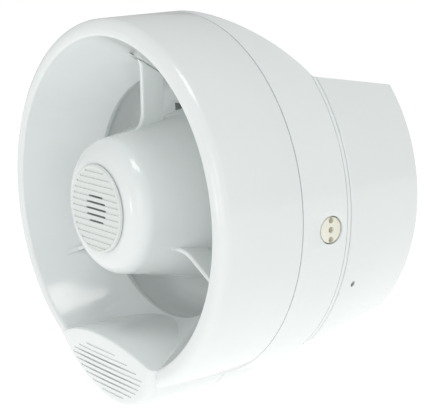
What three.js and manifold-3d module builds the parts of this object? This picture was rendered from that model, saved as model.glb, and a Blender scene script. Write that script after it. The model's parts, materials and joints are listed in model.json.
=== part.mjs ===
// Wall-mounted alarm siren: a horn head hooked on a wall base and held by a small cam lock.
// Millimetres. +Z is up, the horn faces -Y, and the origin is the middle of the wall face.
import * as THREE from 'three';
import { mergeVertices } from 'three/addons/utils/BufferGeometryUtils.js';
import Module from 'manifold-3d';

const wasm = await Module();
wasm.setup();

// ---- driving dimensions ------------------------------------------------------------------
const RIM_DEPTH = 82.5; // wall face to the plane of the horn's rim
const GAP = 0.3; // working gap between neighbouring pieces
const SEGMENTS = 60; // facets round the large turned shapes
const SMALL = 14; // facets round screws and other small round pieces

const rim = { radius: 58.5, lip: 5.5, fillet: 3.2 };
const seamFront = { depth: 29.1, radius: 59.5 }; // back edge of the bell
const seamBack = { depth: 47.6, radius: 60.1 }; // back edge of the housing
const horn = { mouth: 53, throatEnd: 39.5, length: 23.5, wall: 2.8 };
const keel = { radius: 27.5, z: -38.3, wall: 2.4 }; // rounded chin and the keel under the body
const roof = { radius: 55, z: -94.8, wall: 2.2 }; // arched top of the chin box
const chinFace = { z: -52.8, depth: -2, lean: 0.263, thick: 2.4, slots: 9, pitch: 2 };
const bowl = { radius: 41, back: 40, wall: 2.4, flange: 54.5, ring: 43.2, ringOuter: 45.6 };
const bullet = { front: -2.9, radius: 21.8, round: 7.4, backRadius: 28.4, back: 35.5, wall: 2.2 };
const disc = { radius: 14, stem: 12, thick: 1, proud: 1.3, slots: 13, pitch: 1.97, groove: 0.5 };
const port = 5.6; // sound port through the bullet's nose
const fin = { front: 14.2, back: 22.5, thick: 1.6, angles: [90, 210, 330] };
const flat = { top: 40.5, bottom: -43.5, topBack: 35.7, bottomBack: -37.5 };
const base = { front: 48, radius: 60.2, backRadius: 55.4, wall: 2.4, plate: 2.5 };
const flange = { inner: 44, front: 50.4, back: 52.9 }; // ledge in the base that the lugs grip
const lug = { stem: 40.5, reach: 48, back: 56, angles: [-42, 150, 200], span: 10 };
const TWIST = 20; // degrees from held to free
const lock = { depth: 40.3, z: -3.1, radius: 4, face: 59.3, bossEnd: 52.5, tongue: 12 };
const bellScrew = { reach: 50.5, angles: [45, 135, 225, 315] };
const caseScrew = { reach: 52, angles: [-25, 25, 155, 205] };
const coverScrew = { reach: 29.5, angles: [90, 210, 330] };
const driverScrew = { reach: 27.5, angles: [30, 150, 270] };
const drum = { radius: 34.2, wall: 2, front: 45, back: 68 }; // round case behind the driver
const board = { radius: 31.7, front: 62.3, back: 63.9 };
const contacts = [-9, 0, 9]; // positions across the base's contact block

const fromRim = (depth) => depth - RIM_DEPTH;
const radians = (degrees) => THREE.MathUtils.degToRad(degrees);
const polar = (radius, degrees) => [radius * Math.cos(radians(degrees)), radius * Math.sin(radians(degrees))];

// ---- solids -------------------------------------------------------------------------------
function toSolid(geometry) {
  const bare = geometry.index ? geometry : mergeVertices(geometry);
  bare.deleteAttribute('normal');
  bare.deleteAttribute('uv');
  const merged = mergeVertices(bare, 1e-5);
  const points = merged.attributes.position.array;
  const index = merged.index.array;
  const corner = (i) => new THREE.Vector3(points[3 * i], points[3 * i + 1], points[3 * i + 2]);
  const faces = [];
  let volume = 0;
  for (let i = 0; i < index.length; i += 3) {
    const [a, b, c] = [index[i], index[i + 1], index[i + 2]];
    if (a === b || b === c || c === a) continue;
    faces.push(a, b, c);
    volume += corner(a).dot(corner(b).cross(corner(c)));
  }
  if (volume < 0) faces.reverse();
  return new wasm.Manifold(new wasm.Mesh({
    numProp: 3,
    vertProperties: new Float32Array(points),
    triVerts: new Uint32Array(faces),
  }));
}

const add = (...solids) => solids.reduce((sum, solid) => sum.add(solid));
const cut = (solid, ...tools) => tools.reduce((rest, tool) => rest.subtract(tool), solid);
const common = (...solids) => solids.reduce((sum, solid) => sum.intersect(solid));

// A turned shape about the horn's axis, from [radius, depth behind the rim] pairs.
function turned(profile, segments = SEGMENTS) {
  const points = profile.map(([radius, depth]) => new THREE.Vector2(radius, fromRim(depth)));
  const onAxis = profile[0][0] === 0 && profile[profile.length - 1][0] === 0;
  if (!onAxis) points.push(points[0].clone());
  return toSolid(new THREE.LatheGeometry(points, segments));
}

// A cylinder or cone along the horn's axis, at x and z, between two depths behind the rim.
function rod(radius, front, back, x = 0, z = 0, segments = SMALL, backRadius = radius) {
  const geometry = new THREE.CylinderGeometry(backRadius, radius, back - front, segments);
  geometry.translate(x, fromRim((front + back) / 2), z);
  return toSolid(geometry);
}

const ring = (inner, outer, front, back, segments = SEGMENTS) =>
  turned([[inner, front], [outer, front], [outer, back], [inner, back]], segments);

// A block between low and high corners given as [x, depth behind the rim, z].
function block(low, high) {
  const size = high.map((value, i) => value - low[i]);
  const geometry = new THREE.BoxGeometry(...size);
  geometry.translate(low[0] + size[0] / 2, fromRim(low[1] + size[1] / 2), low[2] + size[2] / 2);
  return toSolid(geometry);
}

function outline(points) {
  return new THREE.Shape(points.map(([a, b]) => new THREE.Vector2(a, b)));
}

// An outline in depth and height, [depth, z], carried along X.
function prismX(shape, x0, x1) {
  const options = { depth: x1 - x0, bevelEnabled: false, curveSegments: 16 };
  const geometry = new THREE.ExtrudeGeometry(shape, options);
  const axes = new THREE.Matrix4().makeBasis(
    new THREE.Vector3(0, 1, 0), new THREE.Vector3(0, 0, 1), new THREE.Vector3(1, 0, 0));
  geometry.applyMatrix4(axes);
  geometry.translate(x0, -RIM_DEPTH, 0);
  return toSolid(geometry);
}

// A cylinder along X at the lock's axis.
function lockRod(radius, x0, x1, segments = SMALL) {
  const geometry = new THREE.CylinderGeometry(radius, radius, x1 - x0, segments);
  geometry.rotateZ(Math.PI / 2);
  geometry.translate((x0 + x1) / 2, fromRim(lock.depth), lock.z);
  return toSolid(geometry);
}

// ---- finishes -----------------------------------------------------------------------------
const finishes = {
  shell: { color: 0xe9ecec, roughness: 0.28, metalness: 0 },
  trim: { color: 0xe4e7e4, roughness: 0.34, metalness: 0 },
  plug: { color: 0xe6e2d2, roughness: 0.4, metalness: 0 },
  rubber: { color: 0x2b2c2c, roughness: 0.85, metalness: 0 },
  zinc: { color: 0xb9bcbe, roughness: 0.35, metalness: 0.9 },
  brass: { color: 0xc7a24a, roughness: 0.35, metalness: 0.9 },
  steel: { color: 0x9da1a4, roughness: 0.4, metalness: 0.85 },
  ferrite: { color: 0x3a3b3d, roughness: 0.7, metalness: 0.1 },
  film: { color: 0xb98a4a, roughness: 0.4, metalness: 0 },
  board: { color: 0x1f6b3f, roughness: 0.5, metalness: 0 },
  black: { color: 0x1c1d1f, roughness: 0.5, metalness: 0 },
  capacitor: { color: 0x26324f, roughness: 0.4, metalness: 0 },
  blue: { color: 0x2456a6, roughness: 0.4, metalness: 0 },
  green: { color: 0x3c7d55, roughness: 0.5, metalness: 0 },
  redLead: { color: 0xa32a22, roughness: 0.5, metalness: 0 },
  blackLead: { color: 0x202022, roughness: 0.5, metalness: 0 },
};

const siren = new THREE.Group();

function place(name, solid, finish) {
  const made = solid.getMesh();
  const geometry = new THREE.BufferGeometry();
  geometry.setAttribute('position', new THREE.BufferAttribute(made.vertProperties, 3));
  geometry.setIndex(new THREE.BufferAttribute(made.triVerts, 1));
  const mesh = new THREE.Mesh(geometry, new THREE.MeshStandardMaterial(finishes[finish]));
  mesh.name = name;
  siren.add(mesh);
}

// ---- shared outer forms -------------------------------------------------------------------
const hornRadius = (depth) =>
  horn.mouth - (horn.mouth - horn.throatEnd) * (depth - 0.9) / (horn.length - 0.9);

// The lens-shaped section of the chin: a rounded keel below an arched roof.
function chinPrism(inset, front, back) {
  const lower = rod(keel.radius - inset * keel.wall, front, back, 0, keel.z, SEGMENTS);
  const upper = rod(roof.radius - inset * roof.wall, front, back, 0, roof.z, 2 * SEGMENTS);
  return common(lower, upper);
}

// Everything from "near" to "far" behind the leaning face of the chin.
function chinSlab(near, far) {
  const geometry = new THREE.BoxGeometry(80, far - near, 90);
  geometry.translate(0, (near + far) / 2, 0);
  geometry.rotateX(chinFace.lean);
  geometry.translate(0, fromRim(chinFace.depth), chinFace.z);
  return toSolid(geometry);
}

// A slice of pie about the horn's axis, for cutting short lengths out of a ring.
function sector(from, to, front, back) {
  const shape = outline([[0, 0], polar(90, from), polar(90, to)]);
  const geometry = new THREE.ExtrudeGeometry(shape, { depth: back - front, bevelEnabled: false });
  geometry.rotateX(Math.PI / 2);
  geometry.translate(0, fromRim(back), 0);
  return toSolid(geometry);
}

function arc(count, from, to, at) {
  const points = [];
  for (let i = 0; i <= count; i++) points.push(at(radians(from + (to - from) * i / count)));
  return points;
}

// ---- bell, bullet and disc ------------------------------------------------------------------
function frontBell() {
  const outer = arc(5, 90, 0, (t) => [
    rim.radius - rim.fillet * (1 - Math.cos(t)), rim.fillet * (1 - Math.sin(t))]);
  const inner = arc(3, 180, 90, (t) => [
    horn.mouth + 1.2 + 1.2 * Math.cos(t), 1.2 * (1 - Math.sin(t))]);
  const shell = turned([
    ...inner,
    ...outer,
    [seamFront.radius, seamFront.depth],
    [seamFront.radius - 2.6, seamFront.depth],
    [rim.radius - 2.6, 7],
    [hornRadius(7) + horn.wall, 7],
    [horn.throatEnd + horn.wall, horn.length],
    [bowl.ringOuter, horn.length],
    [bowl.ringOuter, seamFront.depth],
    [bowl.ring, seamFront.depth],
    [bowl.ring, horn.length + 2.2],
    [horn.throatEnd, horn.length + 2.2],
    [horn.throatEnd, horn.length],
  ]);
  const bowlSpace = rod(bowl.ring, horn.length + 1, seamFront.depth + 1, 0, 0, SEGMENTS);
  const chin = cut(common(chinPrism(0, -12, seamFront.depth), chinSlab(0, 60)), bowlSpace);
  const chinSpace = common(chinPrism(1, -12, horn.length - 0.4), chinSlab(chinFace.thick, 60));
  const bowlWall = rod(bowl.ringOuter, 0, seamFront.depth + 2, 0, 0, SEGMENTS);
  const keelSpace = cut(chinPrism(1, horn.length - 1, seamFront.depth + 1), bowlWall);
  const bosses = bellScrew.angles.map((angle) =>
    rod(4, 12, seamFront.depth, ...polar(bellScrew.reach, angle)));
  const bores = bellScrew.angles.map((angle) =>
    rod(1.8, 19, seamFront.depth + 1, ...polar(bellScrew.reach, angle)));
  const body = add(shell, chin, ...bosses);
  place('front_bell', cut(body, chinSpace, keelSpace, ...bores, ...chinSlots()), 'shell');
}

// Shallow grooves that follow the leaning face of the chin.
function chinSlots() {
  const slots = [];
  for (let i = 0; i < chinFace.slots; i++) {
    const z = -45.4 - chinFace.pitch * i;
    const underRoof = Math.sqrt(63 * (-44.3 - z));
    const insideKeel = Math.sqrt((keel.radius - 3.6) ** 2 - (z - keel.z) ** 2);
    const half = Math.min(underRoof, insideKeel);
    const face = chinFace.depth - (z - chinFace.z) * Math.tan(chinFace.lean);
    slots.push(block([-half, -12, z - 0.45], [half, face + 1.1, z + 0.45]));
  }
  return slots;
}

const bulletHollow = [
  [bullet.radius - bullet.wall - 4, 2.2],
  [bullet.radius - bullet.wall, bullet.front + bullet.round],
  [bullet.backRadius - bullet.wall, bullet.back],
];

function bulletSpider() {
  const nose = arc(5, 90, 0, (t) => [
    bullet.radius - bullet.round * (1 - Math.cos(t)), bullet.front + bullet.round * (1 - Math.sin(t))]);
  const cup = turned([
    [0, bullet.front],
    ...nose,
    [bullet.backRadius, bullet.back],
    ...[...bulletHollow].reverse(),
    [0, 2.2],
  ]);
  const hollow = turned([[0, 2.2], ...bulletHollow, [0, bullet.back]]);
  const seat = rod(disc.stem + GAP, bullet.front - 1, bullet.front + 1.2, 0, 0, SEGMENTS);
  const opening = rod(port, bullet.front, 4, 0, 0, 36);
  const body = add(cup, ...fin.angles.map(radialFin));
  place('bullet_spider', cut(body, hollow, seat, opening), 'shell');
}

// One radial fin between bullet and horn, with its front edge swept forward at both ends.
function radialFin(angle) {
  const wall = (depth) => hornRadius(depth) - GAP;
  const foot = fin.front - 3.2;
  const shape = new THREE.Shape();
  shape.moveTo(bullet.radius + 0.6, fin.back);
  shape.lineTo(bullet.radius + 0.6, foot);
  shape.quadraticCurveTo(bullet.radius + 2.2, fin.front, bullet.radius + 6, fin.front);
  shape.lineTo(wall(fin.front) - 3.4, fin.front);
  shape.quadraticCurveTo(wall(fin.front) - 0.6, fin.front, wall(foot), foot);
  shape.lineTo(wall(fin.back), fin.back);
  const options = { depth: fin.thick, bevelEnabled: false, curveSegments: 5 };
  const geometry = new THREE.ExtrudeGeometry(shape, options);
  geometry.translate(0, -RIM_DEPTH, -fin.thick / 2);
  geometry.rotateY(-radians(angle));
  return toSolid(geometry);
}

// A cap with shallow grooves all over it and open slots only over the sound port.
function bulletDisc() {
  const front = bullet.front - disc.proud;
  const ledge = front + disc.thick;
  const back = bullet.front + 0.9;
  const plate = turned([
    [0, front], [disc.radius - 0.5, front], [disc.radius, front + 0.5], [disc.radius, ledge],
    [disc.stem, ledge], [disc.stem, back], [0, back]], 48);
  const grooves = [];
  const slots = [];
  for (let i = 0; i < disc.slots; i++) {
    const z = (i - (disc.slots - 1) / 2) * disc.pitch;
    const half = Math.sqrt((disc.radius - 1) ** 2 - z ** 2);
    grooves.push(block([-half, front - 1, z - 0.42], [half, front + disc.groove, z + 0.42]));
    if (Math.abs(z) > port - 1.2) continue;
    const open = Math.sqrt(port ** 2 - z ** 2);
    slots.push(block([-open, front - 1, z - 0.42], [open, back + 1, z + 0.42]));
  }
  place('bullet_disc', cut(plate, ...grooves, ...slots), 'trim');
}

// ---- reflector and housing --------------------------------------------------------------------
function hornReflector() {
  const face = 44.4;
  const body = turned([
    [6.5, 12],
    [8.3, 12],
    [9.2, 30],
    [12, 36.7],
    [17, 39.3],
    [22, bowl.back],
    [32, bowl.back],
    [36.5, 38.8],
    [39.7, 36],
    [bowl.radius, 32],
    [bowl.radius, horn.length + 2.5],
    [bowl.ring - GAP, horn.length + 2.5],
    [bowl.ring - GAP, 30.3],
    [bowl.flange, 30.3],
    [bowl.flange, 32.3],
    [43.4, 32.3],
    [42, 37.4],
    [38.2, 41],
    [33.5, bowl.back + bowl.wall],
    [32, bowl.back + bowl.wall],
    [32, face],
    [6.5, face],
  ], 60);
  const plateBores = driverScrew.angles.map((angle) =>
    rod(1.6, face - 2.4, face + 1, ...polar(driverScrew.reach, angle)));
  const flangeBores = bellScrew.angles.map((angle) => rod(1.8, 29, 34, ...polar(bellScrew.reach, angle)));
  const drain = block([-17, 34, 22.5], [-10.5, face + 2, 28]);
  place('horn_reflector', cut(body, ...plateBores, ...flangeBores, drain), 'shell');
  place('reflector_gasket', ring(bowl.ring + 0.1, bowl.ringOuter - 0.3, 29.4, 30, 48), 'rubber');
}

// Side view of the housing: full height at the seam with the bell, cut down to the base behind.
function sideView(inset) {
  const front = 20;
  const back = seamBack.depth + 2;
  const shape = new THREE.Shape();
  shape.moveTo(front, -72);
  shape.lineTo(36 - inset, -66.5 + inset);
  shape.quadraticCurveTo(43.5 - inset * 0.7, -60 + inset * 0.7, 46.8 - inset * 0.2, flat.bottom + inset);
  shape.lineTo(back, flat.bottom + inset);
  shape.lineTo(back, flat.top - inset);
  shape.lineTo(46.8 - inset * 0.2, flat.top - inset);
  shape.quadraticCurveTo(41.6 - inset * 0.7, 52 - inset * 0.7, 31 - inset, 61 - inset * 0.6);
  shape.lineTo(front, 64);
  return prismX(shape, -64, 64);
}

function driverHousing() {
  const wall = 2.8;
  const front = seamFront.depth + GAP;
  const form = (inset, from, to) => add(
    rod(seamFront.radius - inset, from, to, 0, 0, SEGMENTS, seamBack.radius - inset),
    rod(keel.radius - inset, from, to, 0, keel.z, SEGMENTS));
  const outer = common(form(0, front, seamBack.depth), sideView(0));
  const inner = common(form(wall, 35, seamBack.depth + 1), sideView(wall));
  const seat = rod(bowl.flange + 0.4, front - 1, 32.6, 0, 0, SEGMENTS);
  const opening = rod(47.9, front - 1, 36, 0, 0, SEGMENTS);
  const inBody = rod(seamFront.radius - 1, front, seamBack.depth, 0, 0, SEGMENTS);
  const lockBoss = common(lockRod(6.5, lock.bossEnd, 60, 28), inBody);
  const posts = caseScrew.angles.map((angle) => rod(3.4, 34, 44.7, ...polar(caseScrew.reach, angle)));
  const dish = new THREE.SphereGeometry(21, 36, 24);
  dish.translate(seamBack.radius + 21 - 1.2, fromRim(lock.depth - 1.4), lock.z);
  const bellBores = bellScrew.angles.map((angle) => rod(1.8, 31, 36, ...polar(bellScrew.reach, angle)));
  const caseBores = caseScrew.angles.map((angle) => rod(1.5, 37, 46, ...polar(caseScrew.reach, angle)));
  const body = add(cut(outer, inner, seat, opening), lockBoss, ...posts);
  const lockBore = lockRod(lock.radius + GAP, 50, 64, 28);
  place('driver_housing', cut(body, toSolid(dish), lockBore, ...bellBores, ...caseBores), 'shell');
}

// ---- rear case, its lugs and its cover --------------------------------------------------------
const betweenFlats = (low, high, front, back) => block([-70, front, low], [70, back, high]);

// A notch, open towards the axis, that the lock's tongue turns into, itself turned about the axis.
function tongueNotch(front, back, low, high, turn) {
  const reach = [flange.inner - 2, base.radius - 3.6];
  const geometry = new THREE.BoxGeometry(reach[1] - reach[0], back - front, high - low);
  geometry.translate((reach[0] + reach[1]) / 2, fromRim((front + back) / 2), (low + high) / 2);
  geometry.rotateY(-radians(turn));
  return toSolid(geometry);
}

function bayonetLug(angle) {
  const stem = ring(lug.stem, flange.inner - 0.5, 46, lug.back, 2 * SEGMENTS);
  const toe = ring(lug.stem, lug.reach, flange.back + 0.5, lug.back, 2 * SEGMENTS);
  return common(add(stem, toe), sector(angle, angle + lug.span, 45, 60));
}

function rearCase() {
  const plateBack = 47.3;
  const plate = common(
    rod(56.9, drum.front, plateBack, 0, 0, SEGMENTS), betweenFlats(-40.3, 37.3, 44, 50));
  const wall = rod(drum.radius, drum.front, drum.back, 0, 0, SEGMENTS);
  const inside = rod(drum.radius - drum.wall, drum.front - 1, drum.back + 1, 0, 0, SEGMENTS);
  const posts = coverScrew.angles.map((angle) => {
    const at = polar(coverScrew.reach, angle);
    const post = add(rod(4, 55, board.front - GAP, ...at), rod(2.8, 56, drum.back, ...at));
    return common(post, rod(drum.radius - 0.5, 50, 70, 0, 0, SEGMENTS));
  });
  const postBores = coverScrew.angles.map((angle) => rod(1.3, 58, 70, ...polar(coverScrew.reach, angle)));
  const caseBores = caseScrew.angles.map((angle) => {
    const at = polar(caseScrew.reach, angle);
    return add(rod(1.5, 44, 48, ...at), rod(2.9, 46.1, 48, ...at));
  });
  const shell = cut(add(plate, wall), inside);
  const body = add(shell, ...posts, ...lug.angles.map(bayonetLug));
  const lockNotch = block([48, 44, -10], [60, 48, 9.8]);
  place('rear_case', cut(body, lockNotch, ...postBores, ...caseBores), 'black');
}

function rearCover() {
  const plate = rod(drum.radius, drum.back + GAP, 70.3, 0, 0, SEGMENTS);
  const switchWindow = block([-7.2, 67, 9.3], [7.2, 72, 17.7]);
  const potWindow = rod(5, 67, 72, 0, -17, 28);
  const bores = coverScrew.angles.map((angle) => rod(1.3, 67, 72, ...polar(coverScrew.reach, angle)));
  place('rear_cover', cut(plate, switchWindow, potWindow, ...bores), 'black');
  contacts.forEach((x, i) => {
    place(`contact_blade_${i + 1}`, block([x - 1.6, 70.6, -5], [x + 1.6, 71.5, 5]), 'brass');
  });
}

// ---- screws -----------------------------------------------------------------------------------
// A pan-head screw along the horn's axis, its head behind and its tip in front.
function screw(name, at, head, tip, back, shank) {
  const [x, z] = at;
  const slot = block([x - head, back - 0.6, z - 0.3], [x + head, back + 1, z + 0.3]);
  const body = add(rod(head, back - 1.3, back, x, z), rod(shank, tip, back - 1, x, z, 12));
  place(name, cut(body, slot), 'zinc');
}

function screws() {
  bellScrew.angles.forEach((angle, i) =>
    screw(`bell_screw_${i + 1}`, polar(bellScrew.reach, angle), 3, 20, 36.7, 1.4));
  caseScrew.angles.forEach((angle, i) =>
    screw(`case_screw_${i + 1}`, polar(caseScrew.reach, angle), 2.6, 38, 47.7, 1.2));
  coverScrew.angles.forEach((angle, i) =>
    screw(`cover_screw_${i + 1}`, polar(coverScrew.reach, angle), 2.3, 60, 71.9, 1));
  driverScrew.angles.forEach((angle, i) =>
    screw(`driver_screw_${i + 1}`, polar(driverScrew.reach, angle), 2.4, 42.5, 50.1, 1.2));
}

// ---- compression driver -----------------------------------------------------------------------
function driver() {
  const bores = driverScrew.angles.map((angle) => rod(1.5, 44, 49, ...polar(driverScrew.reach, angle)));
  const chamber = turned([
    [6.5, 44.7], [31, 44.7], [31, 48.5], [21, 48.5], [21, 46.9], [6.5, 46.9]], 48);
  place('driver_front_plate', cut(chamber, ...bores), 'black');
  place('voice_diaphragm', turned([
    [0, 47.3], [6, 47.4], [12.4, 47.9], [20.4, 47.9], [20.4, 48.2],
    [13.1, 48.2], [13.1, 53], [12.6, 53], [12.6, 48.2], [6, 47.7], [0, 47.6]], 40), 'film');
  place('top_plate', ring(13.7, 23.6, 48.8, 51.8, 40), 'steel');
  place('ring_magnet', ring(14.6, 23.2, 52.1, 57.1, 40), 'ferrite');
  place('magnet_yoke', turned([
    [0, 49.1], [12, 49.1], [12, 57.4], [23.6, 57.4], [23.6, 60], [0, 60]], 40), 'steel');
}

// ---- circuit board and what it carries ----------------------------------------------------------
function electronics() {
  const plate = rod(board.radius, board.front, board.back, 0, 0, 48);
  const cutouts = coverScrew.angles.map((angle) => rod(3.1, 61, 65, ...polar(coverScrew.reach, angle)));
  place('circuit_board', cut(plate, ...cutouts), 'board');
  const top = board.back + GAP;
  place('controller_chip', block([-19, top, -8], [-11, top + 1.6, 2]), 'black');
  place('drive_coil', add(
    rod(5, top, top + 0.9, 15, -6, 24), rod(4, top, top + 3.6, 15, -6, 24),
    rod(5, top + 2.7, top + 3.6, 15, -6, 24)), 'ferrite');
  [0, 180].forEach((angle, i) => {
    place(`reservoir_capacitor_${i + 1}`, rod(3, 51.5, board.front - GAP, ...polar(28, angle)), 'capacitor');
  });
  toneSwitches(top);
  volumeControl(top);
}

// Four small slide switches in one body, worked through the window in the cover.
function toneSwitches(top) {
  const body = block([-6.6, top, 10], [6.6, 69.2, 17]);
  const lanes = [-4.5, -1.5, 1.5, 4.5];
  const pockets = lanes.map((x) => block([x - 1.1, 67.4, 10.9], [x + 1.1, 70, 16.1]));
  place('tone_switch_body', cut(body, ...pockets), 'blue');
  lanes.forEach((x, i) => {
    place(`tone_slider_${i + 1}`, block([x - 0.8, 67.7, 11.2], [x + 0.8, 70, 13.2]), 'trim');
  });
}

function volumeControl(top) {
  const body = rod(4.6, top, 69.2, 0, -17, 28);
  place('volume_pot_body', cut(body, rod(3, 67.4, 70, 0, -17, 28)), 'blue');
  const rotor = rod(2.7, 67.7, 70, 0, -17, 28);
  place('volume_rotor', cut(rotor, block([-0.4, 69.2, -19.1], [0.4, 71, -14.9])), 'trim');
}

// A wire from a coil tag beside the driver back to the board, starting at an angle about the axis.
function driverLead(name, start, finish) {
  const along = (radius, turn, depth) => {
    const [x, z] = polar(radius, start + turn);
    return new THREE.Vector3(x, fromRim(depth), z);
  };
  const path = new THREE.CatmullRomCurve3([
    along(24.9, 0, 50),
    along(26.5, 1, 52),
    along(29, 3, 56),
    along(28, 4, 60),
    along(27.5, 4, 61.9),
  ]);
  const section = new THREE.Shape();
  section.absarc(0, 0, 0.7, 0, 2 * Math.PI, false);
  const options = { steps: 12, extrudePath: path, curveSegments: 5 };
  place(name, toSolid(new THREE.ExtrudeGeometry(section, options)), finish);
}

// ---- lock ---------------------------------------------------------------------------------------
function camLock() {
  const plug = lockRod(lock.radius, 51.1, lock.face, 28);
  const holes = [-2.95, 0, 2.95].map((offset) => {
    const geometry = new THREE.CylinderGeometry(1, 1, 3, 14);
    geometry.rotateZ(Math.PI / 2);
    geometry.translate(lock.face, fromRim(lock.depth), lock.z + offset);
    return toSolid(geometry);
  });
  place('lock_plug', cut(plug, ...holes), 'plug');
  const front = lock.depth - 3.6;
  const back = lock.depth + 3.6;
  const tongue = block([48.7, front, lock.z - 3.6], [50.8, back, lock.z + lock.tongue]);
  place('lock_tongue', tongue, 'zinc');
  const head = cut(lockRod(2.2, 47.2, 48.4), block([47, 36, lock.z - 0.3], [47.6, 45, lock.z + 0.3]));
  place('lock_screw', head, 'zinc');
}

// ---- wall base ----------------------------------------------------------------------------------
function baseForm(inset, front, back) {
  const along = (depth) => (depth - base.front) / (RIM_DEPTH - base.front);
  const slope = (near, far) => (depth) => near + (far - near) * along(depth);
  const radius = slope(base.radius - inset, base.backRadius - inset);
  const top = slope(flat.top - inset, flat.topBack - inset);
  const bottom = slope(flat.bottom + inset, flat.bottomBack + inset);
  const cone = rod(radius(front), front, back, 0, 0, 2 * SEGMENTS, radius(back));
  const side = prismX(outline([
    [front - 1, bottom(front - 1)],
    [back + 1, bottom(back + 1)],
    [back + 1, top(back + 1)],
    [front - 1, top(front - 1)],
  ]), -64, 64);
  return common(cone, side);
}

function wallBase() {
  const plateFront = RIM_DEPTH - base.plate;
  const edgeSlope = 0.8;
  const edgeRadius = base.backRadius - 1.3;
  const edgeFront = edgeRadius + edgeSlope * (RIM_DEPTH - base.front + 1);
  const edge = rod(edgeFront, base.front - 1, RIM_DEPTH, 0, 0, 2 * SEGMENTS, edgeRadius);
  const outer = common(baseForm(0, base.front, RIM_DEPTH), edge);
  const inner = baseForm(base.wall, base.front - 1, plateFront);
  const ledge = common(
    ring(flange.inner, base.radius, flange.front, flange.back), baseForm(1, base.front, RIM_DEPTH));
  const gates = lug.angles.map((angle) => common(
    ring(flange.inner - 1, lug.reach + 0.6, flange.front - 1, flange.back + 1),
    sector(angle + TWIST - 1, angle + TWIST + lug.span + 3.2, 48, 60)));
  const tongueNotches = [0, TWIST].map((turn) => tongueNotch(49, 54, -7.6, 5.2, turn));
  const fixings = [27, -27].map((z) => add(
    block([-4, 79, z - 2.3], [4, 84, z + 2.3]), rod(2.3, 79, 84, -4, z), rod(2.3, 79, 84, 4, z)));
  const cableEntry = rod(7.5, 79, 84, 30, 0, 32);
  const vent = new THREE.CylinderGeometry(1, 1, 12, 14);
  vent.rotateZ(Math.PI / 2);
  vent.translate(56, fromRim(54), -23);
  const shell = add(cut(outer, inner), ledge);
  place('wall_base', cut(shell, ...gates, ...tongueNotches, ...fixings, cableEntry, toSolid(vent)), 'shell');
}

function baseFittings() {
  const seal = (inset) => common(
    rod(57.1 - inset, 48.3, 50.1, 0, 0, SEGMENTS),
    betweenFlats(-40.4 + inset, 37.4 - inset, 48.3 - inset, 50.1 + inset));
  const hole = common(rod(54.2, 47, 51, 0, 0, SEGMENTS), betweenFlats(-37.8, 34.8, 47, 51));
  place('head_seal', cut(seal(0), hole), 'rubber');
  const grommet = turned([
    [4, 78.4], [8.8, 78.4], [8.8, 79.7], [7.2, 79.7], [7.2, 82], [4, 82]], 32);
  place('cable_grommet', grommet.translate([30, 0, 0]), 'rubber');
  const channel = block([-12.5, 74.8, -9], [12.5, 81, 9]);
  place('contact_block', cut(block([-14, 73, -8], [14, 79.7, 8]), channel), 'black');
  contacts.forEach((x, i) => {
    const leaf = outline([
      [72.7, -6], [72.4, -6], [71.8, -2], [71.8, 2], [72.4, 6], [72.7, 6], [72.3, 2], [72.3, -2]]);
    place(`contact_spring_${i + 1}`, prismX(leaf, x - 1.5, x + 1.5), 'brass');
  });
  terminals();
}

// Three screw terminals for the incoming wires, at the side away from the lock.
function terminals() {
  const lanes = [-9, 0, 9];
  const wells = lanes.map((z) => rod(2.9, 68, 76, -43.5, z));
  const mouths = lanes.map((z) => block([-44, 75, z - 1.8], [-36, 78.6, z + 1.8]));
  place('terminal_block', cut(block([-49.5, 69, -13.5], [-37, 79.7, 13.5]), ...wells, ...mouths), 'green');
  lanes.forEach((z, i) => {
    const head = cut(rod(2.5, 72, 75.4, -43.5, z), block([-47, 71, z - 0.35], [-40, 72.7, z + 0.35]));
    place(`terminal_screw_${i + 1}`, head, 'zinc');
  });
}

frontBell();
bulletSpider();
bulletDisc();
hornReflector();
driverHousing();
rearCase();
rearCover();
screws();
driver();
electronics();
driverLead('driver_lead_red', 48, 'redLead');
driverLead('driver_lead_black', 62, 'blackLead');
camLock();
wallBase();
baseFittings();

export default siren;
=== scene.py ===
"""Looks of the wall-mounted alarm siren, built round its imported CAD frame."""

import json
import math

import bmesh
import bpy
from mathutils import Matrix, Vector


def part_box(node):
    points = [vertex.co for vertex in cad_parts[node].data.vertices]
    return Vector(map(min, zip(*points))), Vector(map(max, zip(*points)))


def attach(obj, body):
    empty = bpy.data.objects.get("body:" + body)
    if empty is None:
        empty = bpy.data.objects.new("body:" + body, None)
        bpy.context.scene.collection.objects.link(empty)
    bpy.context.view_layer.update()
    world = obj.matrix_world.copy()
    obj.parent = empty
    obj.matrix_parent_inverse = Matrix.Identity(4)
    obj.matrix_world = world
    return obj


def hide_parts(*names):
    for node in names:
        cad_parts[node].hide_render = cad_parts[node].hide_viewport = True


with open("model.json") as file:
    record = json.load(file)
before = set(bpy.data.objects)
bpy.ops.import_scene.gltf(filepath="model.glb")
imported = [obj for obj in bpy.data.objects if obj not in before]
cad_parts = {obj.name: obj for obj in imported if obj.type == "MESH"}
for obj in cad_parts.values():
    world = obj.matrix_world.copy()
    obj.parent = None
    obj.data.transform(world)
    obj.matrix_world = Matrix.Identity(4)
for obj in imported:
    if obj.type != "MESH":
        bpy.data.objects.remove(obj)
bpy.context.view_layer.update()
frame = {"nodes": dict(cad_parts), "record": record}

MM = 0.001
SEGMENTS = 256
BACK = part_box("wall_base")[1].y  # the wall face
RIM = BACK - 82.5 * MM  # the plane of the horn's rim


def depth(d):
    """Y in metres of a plane d millimetres behind the horn's rim."""
    return RIM + d * MM


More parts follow.
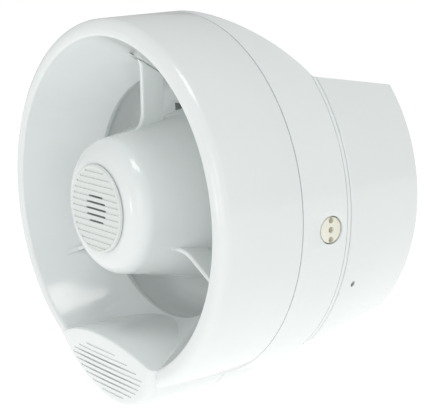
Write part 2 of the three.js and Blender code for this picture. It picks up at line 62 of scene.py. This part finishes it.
# ---- camera --------------------------------------------------------------------------------
def make_camera():
    roll = -0.01208
    right = Vector((0.6154, 0.7883, 0.0))
    up = Vector((-0.1615, 0.1261, 0.9789))
    back = Vector((0.7716, -0.6023, 0.2049))
    side = (right + roll * up).normalized()
    top = (up - roll * right).normalized()
    camera = bpy.data.objects.new("camera", bpy.data.cameras.new("camera"))
    camera.matrix_world = Matrix((
        (side.x, top.x, back.x, 0.3167),
        (side.y, top.y, back.y, BACK - 0.2866),
        (side.z, top.z, back.z, 0.0781),
        (0, 0, 0, 1),
    ))
    camera.data.lens = 102.65
    camera.data.sensor_width = 36
    camera.data.sensor_fit = "HORIZONTAL"
    camera.data.clip_start = 0.01
    bpy.context.scene.collection.objects.link(camera)
    bpy.context.scene.camera = camera


make_camera()


# ---- mesh helpers --------------------------------------------------------------------------
def new_object(name, verts, faces):
    mesh = bpy.data.meshes.new(name)
    mesh.from_pydata(verts, [], faces)
    mesh.validate()
    bm = bmesh.new()
    bm.from_mesh(mesh)
    bmesh.ops.remove_doubles(bm, verts=bm.verts, dist=1e-7)
    bmesh.ops.recalc_face_normals(bm, faces=bm.faces)
    bm.to_mesh(mesh)
    bm.free()
    obj = bpy.data.objects.new(name, mesh)
    bpy.context.scene.collection.objects.link(obj)
    return obj


def lathe(name, profile, segments=SEGMENTS):
    """A turned shape about the horn's axis from [radius, depth] pairs in millimetres."""
    verts = []
    rings = []
    for radius, d in profile:
        if radius == 0:
            rings.append([len(verts)] * segments)
            verts.append((0, depth(d), 0))
            continue
        rings.append(list(range(len(verts), len(verts) + segments)))
        for i in range(segments):
            a = 2 * math.pi * i / segments
            verts.append((radius * MM * math.cos(a), depth(d), radius * MM * math.sin(a)))
    closed = not (profile[0][0] == 0 and profile[-1][0] == 0)
    count = len(profile)
    faces = []
    for i in range(count if closed else count - 1):
        a, b = rings[i], rings[(i + 1) % count]
        for j in range(segments):
            k = (j + 1) % segments
            face = list(dict.fromkeys((a[j], a[k], b[k], b[j])))
            if len(face) > 2:
                faces.append(face)
    return new_object(name, verts, faces)


def loft(name, rings):
    """A closed solid through rings of points that all have the same count."""
    verts = [p for ring in rings for p in ring]
    n = len(rings[0])
    faces = [list(range(n)), list(range(len(verts) - n, len(verts)))]
    for i in range(len(rings) - 1):
        for j in range(n):
            k = (j + 1) % n
            faces.append([i * n + j, i * n + k, (i + 1) * n + k, (i + 1) * n + j])
    return new_object(name, verts, faces)


def prism_y(name, outline, front, back):
    """An (x, z) outline in millimetres carried along the horn's axis."""
    ring = lambda d: [(x * MM, depth(d), z * MM) for x, z in outline]
    return loft(name, [ring(front), ring(back)])


def prism_x(name, outline, x0, x1):
    """A (depth, z) outline in millimetres carried across the siren."""
    ring = lambda x: [(x * MM, depth(d), z * MM) for d, z in outline]
    return loft(name, [ring(x0), ring(x1)])


def block(name, low, high):
    """A block between corners [x, depth, z] in millimetres."""
    (x0, d0, z0), (x1, d1, z1) = low, high
    return prism_y(name, [(x0, z0), (x1, z0), (x1, z1), (x0, z1)], d0, d1)


def circle(radius, x=0.0, z=0.0, count=64, start=0.0):
    step = 2 * math.pi / count
    return [(x + radius * math.cos(start + step * i), z + radius * math.sin(start + step * i))
            for i in range(count)]


def rod(name, radius, front, back, x=0.0, z=0.0, count=48, back_radius=None):
    far = radius if back_radius is None else back_radius
    ring = lambda r, d: [(px * MM, depth(d), pz * MM) for px, pz in circle(r, x, z, count)]
    return loft(name, [ring(radius, front), ring(far, back)])


def rod_x(name, profile, d, z, count=96):
    """A turned shape about a line across the siren, from (radius, x) pairs."""
    rings = [[(x * MM, depth(d + radius * math.cos(2 * math.pi * i / count)),
               (z + radius * math.sin(2 * math.pi * i / count)) * MM) for i in range(count)]
             for radius, x in profile]
    return loft(name, rings)


def polar(radius, degrees):
    a = math.radians(degrees)
    return radius * math.cos(a), radius * math.sin(a)


def sector(name, start, end, front, back):
    return prism_y(name, [(0, 0), polar(90, start), polar(90, end)], front, back)


def arc(count, start, end, at):
    steps = [math.radians(start + (end - start) * i / count) for i in range(count + 1)]
    return [at(t) for t in steps]


def joined(*objects):
    """Several meshes as one, for cutters that do not touch each other."""
    bm = bmesh.new()
    for obj in objects:
        bm.from_mesh(obj.data)
        if obj is not objects[0]:
            bpy.data.objects.remove(obj)
    bm.to_mesh(objects[0].data)
    bm.free()
    return objects[0]


def boolean(obj, operation, *others):
    for other in others:
        modifier = obj.modifiers.new(operation, "BOOLEAN")
        modifier.operation = operation
        modifier.solver = "EXACT"
        modifier.object = other
    bpy.context.view_layer.update()
    made = obj.evaluated_get(bpy.context.evaluated_depsgraph_get())
    mesh = bpy.data.meshes.new_from_object(made)
    obj.modifiers.clear()
    obj.data = mesh
    for other in others:
        bpy.data.objects.remove(other)
    return obj


def cut(obj, *tools):
    return boolean(obj, "DIFFERENCE", *tools)


def add(obj, *others):
    return boolean(obj, "UNION", *others)


def common(obj, *others):
    return boolean(obj, "INTERSECT", *others)


def smooth(obj, angle=28):
    bm = bmesh.new()
    bm.from_mesh(obj.data)
    bmesh.ops.remove_doubles(bm, verts=bm.verts, dist=2e-6)
    bmesh.ops.dissolve_degenerate(bm, edges=bm.edges, dist=1e-6)
    bm.to_mesh(obj.data)
    bm.free()
    obj.data.shade_smooth()
    obj.data.set_sharp_from_angle(angle=math.radians(angle))


# ---- materials -----------------------------------------------------------------------------
class Nodes:
    """A short way to write a node tree."""

    def __init__(self, name):
        self.material = bpy.data.materials.new(name)
        self.material.use_nodes = True
        self.tree = self.material.node_tree
        self.shader = self.tree.nodes["Principled BSDF"]
        self.where = self.add("ShaderNodeTexCoord").outputs["Object"]

    def add(self, kind, **values):
        node = self.tree.nodes.new(kind)
        for key, value in values.items():
            setattr(node, key, value)
        return node

    def link(self, output, target):
        self.tree.links.new(output, target)

    def noise(self, scale, detail=3.0, stretch=None):
        node = self.add("ShaderNodeTexNoise")
        node.inputs["Scale"].default_value = scale
        node.inputs["Detail"].default_value = detail
        source = self.where
        if stretch:
            mapping = self.add("ShaderNodeMapping")
            mapping.inputs["Scale"].default_value = stretch
            self.link(source, mapping.inputs["Vector"])
            source = mapping.outputs["Vector"]
        self.link(source, node.inputs["Vector"])
        return node.outputs["Fac"]

    def ranged(self, output, low, high, from_low=0.3, from_high=0.7):
        node = self.add("ShaderNodeMapRange")
        node.inputs["From Min"].default_value = from_low
        node.inputs["From Max"].default_value = from_high
        node.inputs["To Min"].default_value = low
        node.inputs["To Max"].default_value = high
        self.link(output, node.inputs["Value"])
        return node.outputs["Result"]

    def mixed(self, factor, first, second):
        node = self.add("ShaderNodeMix", data_type="RGBA")
        for socket, value in ((node.inputs["A"], first), (node.inputs["B"], second)):
            if isinstance(value, tuple):
                socket.default_value = (*value, 1.0)
            else:
                self.link(value, socket)
        self.link(factor, node.inputs["Factor"])
        return node.outputs["Result"]

    def edges(self, low=0.52, high=0.62):
        """High on outer corners, where handling rubs the surface."""
        geometry = self.add("ShaderNodeNewGeometry")
        return self.ranged(geometry.outputs["Pointiness"], 0.0, 1.0, low, high)

    def bump(self, height, strength, distance):
        node = self.add("ShaderNodeBump")
        node.inputs["Strength"].default_value = strength
        node.inputs["Distance"].default_value = distance
        self.link(height, node.inputs["Height"])
        self.link(node.outputs["Normal"], self.shader.inputs["Normal"])
        return node


def plastic(name, color, rough, grain=900.0, depth_mm=0.004, tint=0.985):
    """Moulded plastic: faint flow marks and a fine skin."""
    n = Nodes(name)
    darker = tuple(c * tint for c in color)
    flow = n.mixed(n.ranged(n.noise(38, 4), 0, 1), color, darker)
    n.link(flow, n.shader.inputs["Base Color"])
    n.link(n.ranged(n.noise(120, 5), rough * 0.86, rough * 1.16), n.shader.inputs["Roughness"])
    n.bump(n.noise(grain, 2), 0.35, depth_mm * MM)
    return n.material


def metal(name, color, rough, stretch=(1, 14, 1), worn=(0.8, 0.8, 0.8)):
    """Plated or plain metal with fine drawn lines and brighter corners."""
    n = Nodes(name)
    lines = n.noise(700, 4, stretch)
    base = n.mixed(n.ranged(lines, 0, 1), color, tuple(c * 0.82 for c in color))
    n.link(n.mixed(n.edges(), base, worn), n.shader.inputs["Base Color"])
    n.link(n.ranged(lines, rough * 0.8, rough * 1.3), n.shader.inputs["Roughness"])
    n.bump(lines, 0.3, 0.01 * MM)
    n.shader.inputs["Metallic"].default_value = 1.0
    return n.material


def rubber(name, color):
    n = Nodes(name)
    dust = n.mixed(n.ranged(n.noise(160, 5), 0, 1), color, tuple(c + 0.03 for c in color))
    n.link(dust, n.shader.inputs["Base Color"])
    n.link(n.ranged(n.noise(300, 3), 0.7, 0.9), n.shader.inputs["Roughness"])
    n.bump(n.noise(1600, 2), 0.5, 0.02 * MM)
    return n.material


def solder_mask(name):
    n = Nodes(name)
    tracks = n.noise(260, 1, (1, 1, 4))
    n.link(n.mixed(n.ranged(tracks, 0, 1, 0.48, 0.52), (0.02, 0.16, 0.07), (0.03, 0.24, 0.10)),
           n.shader.inputs["Base Color"])
    n.link(n.ranged(n.noise(500, 3), 0.25, 0.4), n.shader.inputs["Roughness"])
    n.bump(tracks, 0.4, 0.03 * MM)
    return n.material


finishes = {
    "shell_white": plastic("shell_white", (0.79, 0.825, 0.818), 0.13),
    "trim_white": plastic("trim_white", (0.72, 0.75, 0.73), 0.22),
    "plug_cream": plastic("plug_cream", (0.83, 0.82, 0.71), 0.36),
    "black_plastic": plastic("black_plastic", (0.022, 0.022, 0.024), 0.5, 1400, 0.02, 0.8),
    "blue_plastic": plastic("blue_plastic", (0.02, 0.07, 0.36), 0.35, 1200, 0.01, 0.9),
    "terminal_green": plastic("terminal_green", (0.03, 0.2, 0.08), 0.45, 1200, 0.02, 0.88),
    "capacitor_blue": plastic("capacitor_blue", (0.02, 0.03, 0.11), 0.25, 600, 0.01, 0.9),
    "film_amber": plastic("film_amber", (0.5, 0.27, 0.09), 0.3, 500, 0.02, 0.85),
    "lead_red": plastic("lead_red", (0.42, 0.02, 0.015), 0.4, 1500, 0.01, 0.9),
    "lead_black": plastic("lead_black", (0.015, 0.015, 0.016), 0.4, 1500, 0.01, 0.9),
    "ferrite": plastic("ferrite", (0.035, 0.035, 0.038), 0.62, 1800, 0.04, 0.75),
    "rubber": rubber("rubber", (0.03, 0.03, 0.031)),
    "zinc_plated": metal("zinc_plated", (0.62, 0.63, 0.66), 0.32),
    "steel_plated": metal("steel_plated", (0.45, 0.46, 0.47), 0.38),
    "brass_contact": metal("brass_contact", (0.75, 0.55, 0.22), 0.3),
    "board_green": solder_mask("board_green"),
}

slot_of = {s["node"]: s["material_slot"] for s in frame["record"]["subparts"]}
for node, obj in frame["nodes"].items():
    obj.data.materials.clear()
    obj.data.materials.append(finishes[slot_of[node]])


def piece(obj, node, body, angle=28):
    """Finish a piece, let it stand for its CAD node, and make it move with its body."""
    smooth(obj, angle)
    slot = slot_of[node]
    obj.data.materials.clear()
    obj.data.materials.append(finishes[slot])
    obj.name = node + "_look"
    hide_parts(node)
    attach(obj, body)
    return obj


# ---- front bell ----------------------------------------------------------------------------
MOUTH, THROAT, HORN_LENGTH, WALL = 53.0, 39.5, 23.5, 2.8
KEEL_R, KEEL_Z = 27.5, -38.3
ROOF_R, ROOF_Z = 55.0, -94.8
SEAM = 29.1
BOWL_R = 41.0  # widest part of the bowl
RING_R, RING_OUTER = 43.2, 45.6  # the bell's ring round the bowl
SEAM_BACK = 47.6
SEAM_GAP = 0.16  # between bell and housing
CHIN_GROOVE, DISC_GROOVE = 0.28, 0.42  # depths of the shallow grooves


def horn_radius(d):
    return MOUTH - (MOUTH - THROAT) * (d - 0.9) / (HORN_LENGTH - 0.9)


def lens(lower_inset, upper_inset, count=64):
    """The chin's outline: a rounded keel below an arched roof, each pulled in by its inset."""
    r1, r2 = KEEL_R - lower_inset, ROOF_R - upper_inset
    gap = KEEL_Z - ROOF_Z
    # circles meet where (z - ROOF_Z)^2 - (z - KEEL_Z)^2 = r2^2 - r1^2
    corner_z = ((r2 ** 2 - r1 ** 2) / gap + KEEL_Z + ROOF_Z) / 2
    low = math.asin((corner_z - KEEL_Z) / r1)
    high = math.asin((corner_z - ROOF_Z) / r2)
    points = []
    for i in range(count):
        a = low - (math.pi + 2 * low) * i / count
        points.append((r1 * math.cos(a), KEEL_Z + r1 * math.sin(a)))
    for i in range(count):
        a = (math.pi - high) - (math.pi - 2 * high) * i / count
        points.append((r2 * math.cos(a), ROOF_Z + r2 * math.sin(a)))
    return points


def chin_face(x, z):
    """Depth of the chin's leaning, slightly crowned face."""
    return -2.0 - 0.269 * (z + 52.8) + 0.9 * (x / 26.0) ** 2


def chin_loft():
    rings = [[(x * MM, depth(SEAM), z * MM) for x, z in lens(0, 0)]]
    low_r, top_r = 2.4, 0.7
    steps = 7
    for i in range(steps + 1):
        t = math.radians(90 * i / steps)
        outline = lens(low_r * (1 - math.cos(t)), top_r * (1 - math.cos(t)))
        half = len(outline) // 2
        ring = []
        for j, (x, z) in enumerate(outline):
            r = low_r if j < half else top_r
            ring.append((x * MM, depth(chin_face(x, z) + r * (1 - math.sin(t))), z * MM))
        rings.append(ring)
    for inset in (3.5, 5, 7, 9, 10.5, 11.6):
        outline = lens(low_r + inset - 1.4, top_r + inset)
        rings.append([(x * MM, depth(chin_face(x, z)), z * MM) for x, z in outline])
    return loft("chin", rings)


def chin_slots():
    tools = []
    for i in range(9):
        z = -45.4 - 2.0 * i
        half = min(math.sqrt(63 * (-44.3 - z)), math.sqrt((KEEL_R - 3.6) ** 2 - (z - KEEL_Z) ** 2))
        ring = lambda d: [(x * MM, depth(chin_face(x, z) + d), (z + h) * MM)
                          for x, h in slot_outline(half, 0.36)]
        tools.append(loft(f"slot{i}", [ring(-2), ring(CHIN_GROOVE)]))
    return joined(*tools)


def slot_outline(half, height, steps=14):
    """A long slot with rounded ends, as (x, offset) points."""
    right = [(half - height + height * math.cos(a), height * math.sin(a))
             for a in [math.radians(-90 + 180 * i / 6) for i in range(7)]]
    top = [(half - height - (2 * half - 2 * height) * i / steps, height) for i in range(1, steps)]
    left = [(-x, -h) for x, h in right]
    bottom = [(-x, -h) for x, h in top]
    return right + top + left + bottom


def front_bell():
    outer = arc(10, 90, 0, lambda t: (58.5 - 3.2 * (1 - math.cos(t)), 3.2 * (1 - math.sin(t))))
    inner = arc(6, 180, 90, lambda t: (MOUTH + 1.2 + 1.2 * math.cos(t), 1.2 * (1 - math.sin(t))))
    seam_edge = arc(3, 0, 90, lambda t: (
        59.5 - 0.35 * (1 - math.cos(t)), SEAM - 0.35 + 0.35 * math.sin(t)))
    shell = lathe("front_bell", [
        *inner,
        *outer,
        *seam_edge,
        (56.9, SEAM),
        (55.9, 7),
        (horn_radius(7) + WALL, 7),
        (THROAT + WALL, HORN_LENGTH),
        (RING_OUTER, HORN_LENGTH),
        (RING_OUTER, SEAM),
        (RING_R, SEAM),
        (RING_R, HORN_LENGTH + 2.2),
        (THROAT + 1.1, HORN_LENGTH + 2.2),
        *arc(4, 90, 0, lambda t: (
            THROAT + 1.1 * (1 - math.cos(t)), HORN_LENGTH + 1.1 + 1.1 * math.sin(t))),
        (THROAT, HORN_LENGTH),
    ])
    chin = cut(chin_loft(), rod("bowl_space", RING_R, HORN_LENGTH + 1, SEAM + 1, count=SEGMENTS))
    inside = lens(2.4, 2.2)
    hollow = loft("chin_hollow", [
        [(x * MM, depth(chin_face(x, z) + 2.4), z * MM) for x, z in inside],
        [(x * MM, depth(HORN_LENGTH - 0.4), z * MM) for x, z in inside],
    ])
    keel_space = cut(prism_y("keel_space", inside, HORN_LENGTH - 1, SEAM + 1),
                     rod("bowl_wall", RING_OUTER, 10, SEAM + 2, count=SEGMENTS))
    bosses = []
    bores = []
    for angle in (45, 135, 225, 315):
        x, z = polar(50.5, angle)
        bosses.append(rod("boss", 4, 12, SEAM, x, z, 32))
        bores.append(rod("bore", 1.8, 19, SEAM + 1, x, z, 32))
    body = add(shell, chin, *bosses)
    body = cut(body, hollow, keel_space, joined(*bores), chin_slots())
    return piece(body, "front_bell", "head")


# ---- bullet, fins and disc -----------------------------------------------------------------
BULLET_FRONT, BULLET_R, NOSE = -2.9, 21.8, 7.4
DISC_R, DISC_STEM, DISC_FRONT, PORT = 14.0, 12.0, -4.2, 5.6


def bullet_radius(d):
    return BULLET_R + (28.4 - BULLET_R) * max(0.0, d - 4.5) / 31.0


def fin_blade(angle):
    """One radial fin, its front edge swept forward at both ends and rounded across."""
    front, back, thick = 14.2, 22.3, 0.8
    foot = front - 3.4
    wall = lambda d: horn_radius(d) - 0.3
    inner = lambda d: bullet_radius(d) - 1.0
    edge = [(inner(foot - 1.2), foot - 1.2)]
    edge += arc(8, 0, 90, lambda t: (
        bullet_radius(foot) + 5.2 * (1 - math.cos(t)) + 0.1, foot + (front - foot) * math.sin(t)))
    span = wall(front) - 4.4
    edge += [(span, front)]
    edge += arc(8, 90, 0, lambda t: (
        wall(foot) - 4.9 * (1 - math.cos(t)) - 0.05, foot + (front - foot) * math.sin(t)))[1:]
    edge += [(wall(foot - 1.0), foot - 1.0)]
    outline = edge + [(wall(back), back), (inner(back), back)]
    rings = []
    for side, inset in ((-thick, 0.55), (-thick + 0.2, 0.18), (-thick + 0.55, 0.0),
                        (thick - 0.55, 0.0), (thick - 0.2, 0.18), (thick, 0.55)):
        ring = []
        for k, (r, d) in enumerate(outline):
            shift = inset if 0 < k < len(edge) - 1 else 0.0
            ring.append((r, d + shift, side))
        rings.append(ring)
    ca, sa = math.cos(math.radians(angle)), math.sin(math.radians(angle))
    place = lambda r, d, s: ((r * ca - s * sa) * MM, depth(d), (r * sa + s * ca) * MM)
    return loft("fin", [[place(*p) for p in ring] for ring in rings])


def bullet_spider():
    nose = arc(14, 90, 0, lambda t: (
        BULLET_R - NOSE * (1 - math.cos(t)), BULLET_FRONT + NOSE * (1 - math.sin(t))))
    seat = BULLET_FRONT + 1.2
    ring = DISC_STEM + 0.3
    cup = lathe("bullet_spider", [
        (PORT, seat),
        (ring, seat),
        (ring, BULLET_FRONT),
        *nose,
        (28.2, 34.6),
        (28.4, 35.5),
        (26.2, 35.5),
        (19.6, 4.5),
        (15.6, 2.2),
        (PORT, 2.2),
    ])
    return piece(add(cup, *[fin_blade(a) for a in (90, 210, 330)]), "bullet_spider", "head")


def bullet_disc():
    ledge = DISC_FRONT + 1.0
    back = BULLET_FRONT + 0.9
    plate = lathe("bullet_disc", [
        (0, DISC_FRONT + 0.2),
        (DISC_R - 1.2, DISC_FRONT + 0.2),
        (DISC_R - 1.0, DISC_FRONT + 0.06),
        (DISC_R - 0.8, DISC_FRONT),
        (DISC_R - 0.45, DISC_FRONT),
        (DISC_R - 0.13, DISC_FRONT + 0.13),
        (DISC_R, DISC_FRONT + 0.45),
        (DISC_R, ledge),
        (DISC_STEM, ledge),
        (DISC_STEM, back),
        (0, back),
    ], 160)
    tools = []
    for i in range(13):
        z = (i - 6) * 1.97
        half = math.sqrt((DISC_R - 1.0) ** 2 - z ** 2)
        groove = [(x, z + h) for x, h in slot_outline(half, 0.3)]
        tools.append(prism_y(f"groove{i}", groove, DISC_FRONT - 1, DISC_FRONT + DISC_GROOVE))
    body = cut(plate, joined(*tools))
    tools = []
    for i in range(4, 9):
        z = (i - 6) * 1.97
        half = math.sqrt(PORT ** 2 - z ** 2)
        slot = [(x, z + h) for x, h in slot_outline(half, 0.34)]
        tools.append(prism_y(f"slot{i}", slot, DISC_FRONT - 1, back + 1))
    return piece(cut(body, joined(*tools)), "bullet_disc", "head")


# ---- reflector -----------------------------------------------------------------------------
def horn_reflector():
    body = lathe("horn_reflector", [
        (6.5, 12), (7.4, 11.7), (8.3, 12), (8.6, 20), (9.2, 30), (10.2, 34), (12, 36.7), (14.2, 38.4),
        (17, 39.3), (19.5, 39.8), (22, 40), (30, 40), (33.5, 39.7), (36.5, 38.8), (38.4, 37.6),
        (39.7, 36), (40.6, 34.2), (BOWL_R, 32), (BOWL_R, 26), (42.9, 26), (42.9, 30.3),
        (54.5, 30.3), (54.5, 32.3), (43.4, 32.3),
        (42, 37.4), (38.2, 41), (33.5, 42.4), (32, 42.4), (32, 44.4), (6.5, 44.4)])
    bores = [rod("bore", 1.6, 42, 46, *polar(27.5, a), 24) for a in (30, 150, 270)]
    bores += [rod("bore", 1.8, 29, 34, *polar(50.5, a), 24) for a in (45, 135, 225, 315)]
    drain = block("drain", (-17, 34, 22.5), (-10.5, 48, 28))
    return piece(cut(body, joined(*bores, drain)), "horn_reflector", "head")


# ---- housing -------------------------------------------------------------------------------
FLAT_TOP, FLAT_BOTTOM = 40.5, -43.5


def bezier(a, b, c, count):
    return [((1 - t) ** 2 * a[0] + 2 * (1 - t) * t * b[0] + t * t * c[0],
             (1 - t) ** 2 * a[1] + 2 * (1 - t) * t * b[1] + t * t * c[1])
            for t in [i / count for i in range(1, count + 1)]]


def side_view(inset):
    front, back = 20, SEAM_BACK + 2
    low = (36 - inset, -66.5 + inset)
    low_end = (46.8 - inset * 0.2, FLAT_BOTTOM + inset)
    high = (46.8 - inset * 0.2, FLAT_TOP - inset)
    high_end = (31 - inset, 61 - inset * 0.6)
    return [
        (front, -72), low,
        *bezier(low, (43.5 - inset * 0.7, -60 + inset * 0.7), low_end, 24),
        (back, FLAT_BOTTOM + inset), (back, FLAT_TOP - inset), high,
        *bezier(high, (41.6 - inset * 0.7, 52 - inset * 0.7), high_end, 24),
        (front, 64),
    ]


def housing_form(inset, front, back):
    grow = lambda d: 59.5 + 0.6 * (d - SEAM) / (SEAM_BACK - SEAM) - inset
    body = rod("form", grow(front), front, back, count=SEGMENTS, back_radius=grow(back))
    return add(body, rod("keel", KEEL_R - inset, front, back, 0, KEEL_Z, 160))


def driver_housing():
    front = SEAM + SEAM_GAP
    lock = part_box("lock_plug")
    lock_z = (lock[0].z + lock[1].z) / 2 / MM
    lock_d = ((lock[0].y + lock[1].y) / 2 - RIM) / MM
    body = common(housing_form(0, front, SEAM_BACK), prism_x("side", side_view(0), -70, 70))
    inner = common(housing_form(2.8, 35, SEAM_BACK + 1), prism_x("side", side_view(2.8), -70, 70))
    body = cut(body, inner, rod("seat", 54.9, front - 1, 32.6, count=128),
               rod("opening", 47.9, front - 1, 36, count=128))
    boss = common(rod_x("boss", [(6.5, 52.5), (6.5, 60)], lock_d, lock_z),
                  rod("inside", 58.4, front, SEAM_BACK, count=128))
    posts = [rod("post", 3.4, 34, 44.7, *polar(52, a), 32) for a in (-25, 25, 155, 205)]
    body = add(body, boss, *posts)
    bores = [rod("bore", 1.8, 31, 36, *polar(50.5, a), 24) for a in (45, 135, 225, 315)]
    bores += [rod("bore", 1.5, 37, 46, *polar(52, a), 24) for a in (-25, 25, 155, 205)]
    step = lathe("step", [(59.75, 46.2), (63, 46.2), (63, 46.45), (59.75, 46.45)])
    dish = rod_x("dish", dish_profile(), lock_d - 1.4, lock_z, 128)
    body = cut(body, joined(*bores), step, dish,
               rod_x("lock_bore", [(4.3, 50), (4.3, 64)], lock_d, lock_z))
    return piece(body, "driver_housing", "head")


def dish_profile():
    """A ball with its lowest point just under the housing's skin, wide enough to clear it."""
    centre, radius = 60.1 + 21 - 1.2, 21.0
    return [(radius * math.sin(math.radians(a)), centre - radius * math.cos(math.radians(a)))
            for a in (0.05, 2, 4, 6, 8, 10, 12, 14, 16, 18, 20, 22, 24, 26, 30, 34)]


# ---- base ----------------------------------------------------------------------------------
BASE_FRONT, BASE_BACK = 48.0, 82.5


def base_slope(start, end):
    return lambda d: start + (end - start) * (d - BASE_FRONT) / (BASE_BACK - BASE_FRONT)


def base_form(inset, front, back, rounded):
    radius = base_slope(60.2 - inset, 55.4 - inset)
    top = base_slope(FLAT_TOP - inset, 35.7 - inset)
    bottom = base_slope(FLAT_BOTTOM + inset, -37.5 + inset)
    edge = 1.6
    if not rounded:
        cone = rod("cone", radius(front), front, back, count=SEGMENTS, back_radius=radius(back))
        side = [(front - 1, bottom(front - 1)), (back + 1, bottom(back + 1)),
                (back + 1, top(back + 1)), (front - 1, top(front - 1))]
        return common(cone, prism_x("side", side, -70, 70))
    turn = [math.radians(90 * i / 6) for i in range(7)]
    profile = [(0, front), (radius(front) - 0.3, front), (radius(front), front + 0.3)]
    profile += [(radius(back) - edge * (1 - math.cos(t)), back - edge + edge * math.sin(t))
                for t in turn]
    profile += [(0, back)]
    cone = lathe("cone", profile)
    side = [(front - 1, bottom(front - 1))]
    side += [(back - edge + edge * math.sin(t), bottom(back) + edge * (1 - math.cos(t))) for t in turn]
    side += [(back + 1, bottom(back) + edge + 1), (back + 1, top(back) - edge - 1)]
    side += [(back - edge + edge * math.sin(t), top(back) - edge * (1 - math.cos(t)))
             for t in turn[::-1]]
    side += [(front - 1, top(front - 1))]
    return common(cone, prism_x("side", side, -70, 70))


def tongue_notch(turn):
    box = block("notch", (42, 49, -7.6), (56.6, 54, 5.2))
    box.data.transform(Matrix.Rotation(-math.radians(turn), 4, "Y"))
    return box


def wall_base():
    body = cut(base_form(0, BASE_FRONT, BASE_BACK, True), base_form(2.4, BASE_FRONT - 1, 80, False))
    ledge = common(lathe("ledge", [(44, 50.4), (60.2, 50.4), (60.2, 52.9), (44, 52.9)]),
                   base_form(1, BASE_FRONT, BASE_BACK, False))
    body = add(body, ledge)
    gates = [common(lathe("gate", [(43, 49.4), (48.6, 49.4), (48.6, 53.9), (43, 53.9)]),
                    sector("part", a + 19, a + 33.2, 48, 60)) for a in (-42, 150, 200)]
    fixings = [prism_y("fixing", [(x, z + h) for x, h in slot_outline(6.3, 2.3)], 79, 84)
               for z in (27, -27)]
    entry = rod("entry", 7.5, 79, 84, 30, 0, 64)
    vent = rod_x("vent", [(1, 50), (1, 62)], 54, -23, 32)
    body = cut(body, joined(*gates), tongue_notch(0), tongue_notch(20))
    body = cut(body, joined(*fixings, entry, vent))
    return piece(body, "wall_base", "base")


# ---- lock plug -----------------------------------------------------------------------------
def lock_plug():
    low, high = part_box("lock_plug")
    z = (low.z + high.z) / 2 / MM
    d = ((low.y + high.y) / 2 - RIM) / MM
    radius = (high.z - low.z) / 2 / MM
    face = high.x / MM
    plug = rod_x("lock_plug", [(radius, low.x / MM), (radius, face - 0.35), (radius - 0.1, face - 0.12),
                               (radius - 0.35, face)], d, z)
    holes = [rod_x("hole", [(1.0, face - 1.6), (1.0, face + 1)], d, z + offset, 32)
             for offset in (-2.95, 0, 2.95)]
    return piece(cut(plug, joined(*holes)), "lock_plug", "lock_cam")


front_bell()
bullet_spider()
bullet_disc()
horn_reflector()
driver_housing()
wall_base()
lock_plug()


# ---- floor, world and lights ---------------------------------------------------------------
def stage():
    n = Nodes("floor")
    n.link(n.mixed(n.ranged(n.noise(2.0, 3), 0, 1), (0.93, 0.93, 0.93), (0.9, 0.9, 0.9)),
           n.shader.inputs["Base Color"])
    n.shader.inputs["Roughness"].default_value = 0.9
    n.shader.inputs["Emission Color"].default_value = (1, 1, 1, 1)
    n.shader.inputs["Emission Strength"].default_value = 0.54
    level = -0.35
    corners = [(-12, -12, level), (12, -12, level), (12, 12, level), (-12, 12, level)]
    floor = new_object("floor", corners, [(0, 1, 2, 3)])
    floor.data.materials.append(n.material)
    world = bpy.data.worlds.new("studio")
    world.use_nodes = True
    back = world.node_tree.nodes["Background"]
    back.inputs["Color"].default_value = (0.99, 1.0, 1.0, 1.0)
    back.inputs["Strength"].default_value = 0.53
    bpy.context.scene.world = world
    bpy.context.scene.view_settings.view_transform = "Standard"


def soft_light(name, place, target, size, power, color=(1, 1, 1)):
    lamp = bpy.data.lights.new(name, "AREA")
    lamp.shape = "RECTANGLE"
    lamp.size, lamp.size_y = size
    lamp.energy = power
    lamp.color = color
    obj = bpy.data.objects.new(name, lamp)
    obj.location = place
    toward = Vector(target) - Vector(place)
    obj.rotation_euler = toward.to_track_quat("-Z", "Y").to_euler()
    bpy.context.scene.collection.objects.link(obj)


stage()
soft_light("overhead", (0.32, -0.25, 1.1), (0, -0.06, 0), (0.5, 0.42), 3.6)
soft_light("front", (-0.14, -1.4, -0.06), (0, -0.06, 0), (0.16, 0.26), 1.0)
soft_light("strip", (1.3, 0.32, 0.4), (0, -0.06, 0), (0.07, 1.0), 0.9)
soft_light("fill", (0.8, -1.1, 0.25), (0, -0.06, 0), (0.7, 0.7), 1.8)
